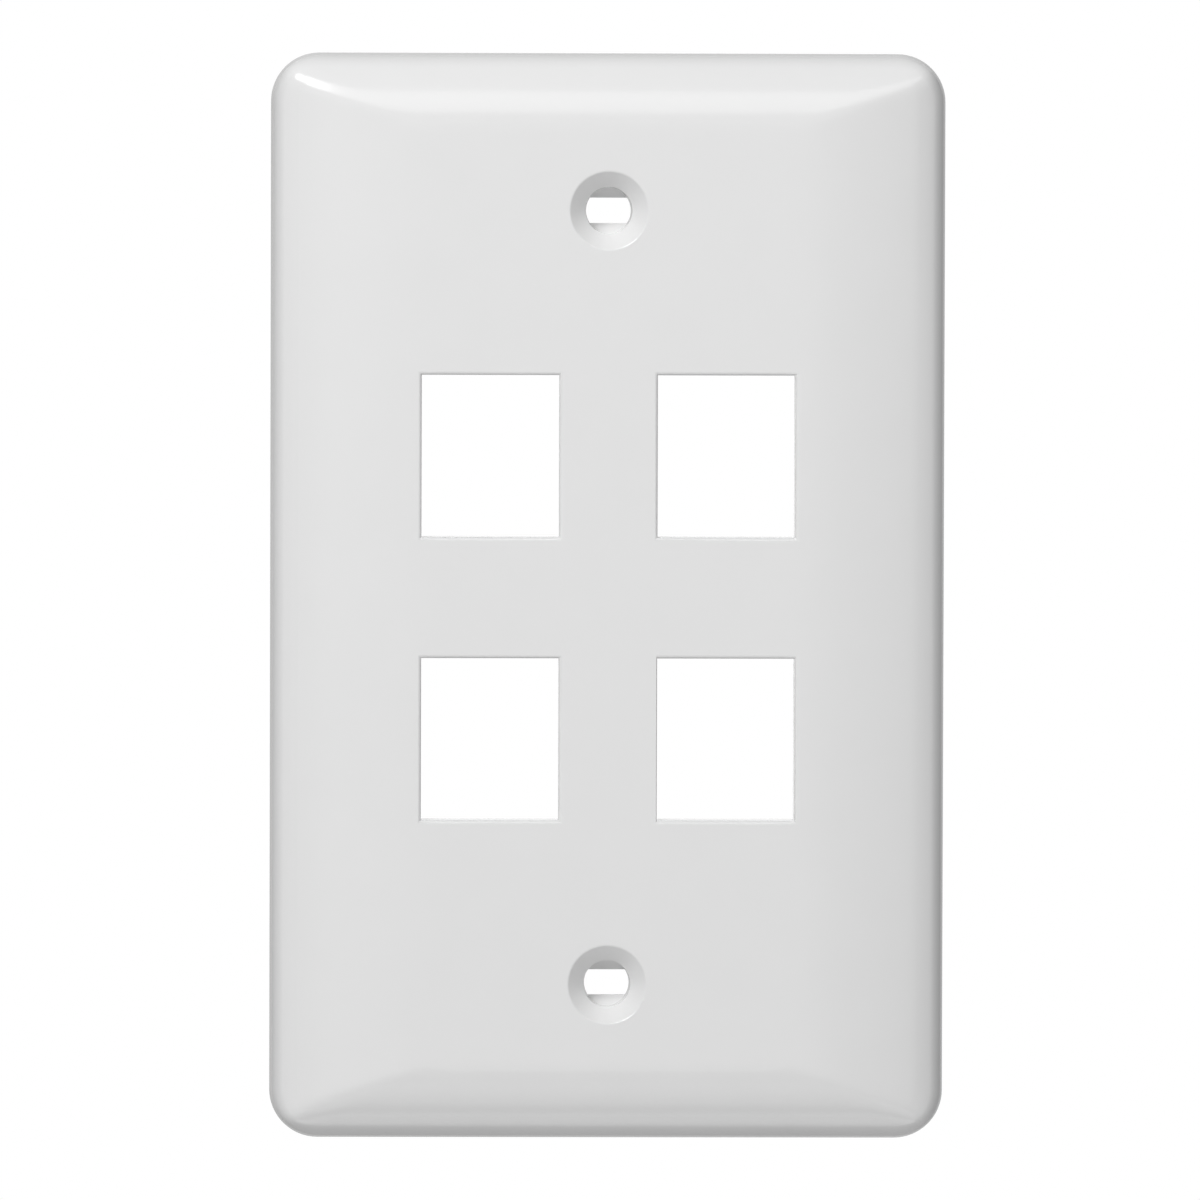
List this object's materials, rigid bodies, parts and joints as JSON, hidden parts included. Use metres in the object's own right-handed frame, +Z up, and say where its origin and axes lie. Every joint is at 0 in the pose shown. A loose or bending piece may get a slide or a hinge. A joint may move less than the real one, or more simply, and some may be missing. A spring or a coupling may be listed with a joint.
{
  "type": "keystone faceplate",
  "caption": "White moulded single-gang wall faceplate with open ports for snap-in jacks, countersunk captive-screw holes, crowned mitred edges and a hollow ribbed back.",
  "frame": {"origin": "centre of the outline, on the wall plane that the rim rests on", "axes": "+X to the right seen from the front, +Y into the wall, +Z up; the face looks along -Y"},
  "size_m": [0.0728, 0.01, 0.1172],
  "materials": {
    "white_plastic": "semi-gloss moulded white, very faint satin grain"
  },
  "bodies": {
    "root": {"faceplate": "white_plastic"}
  },
  "joints": []
}
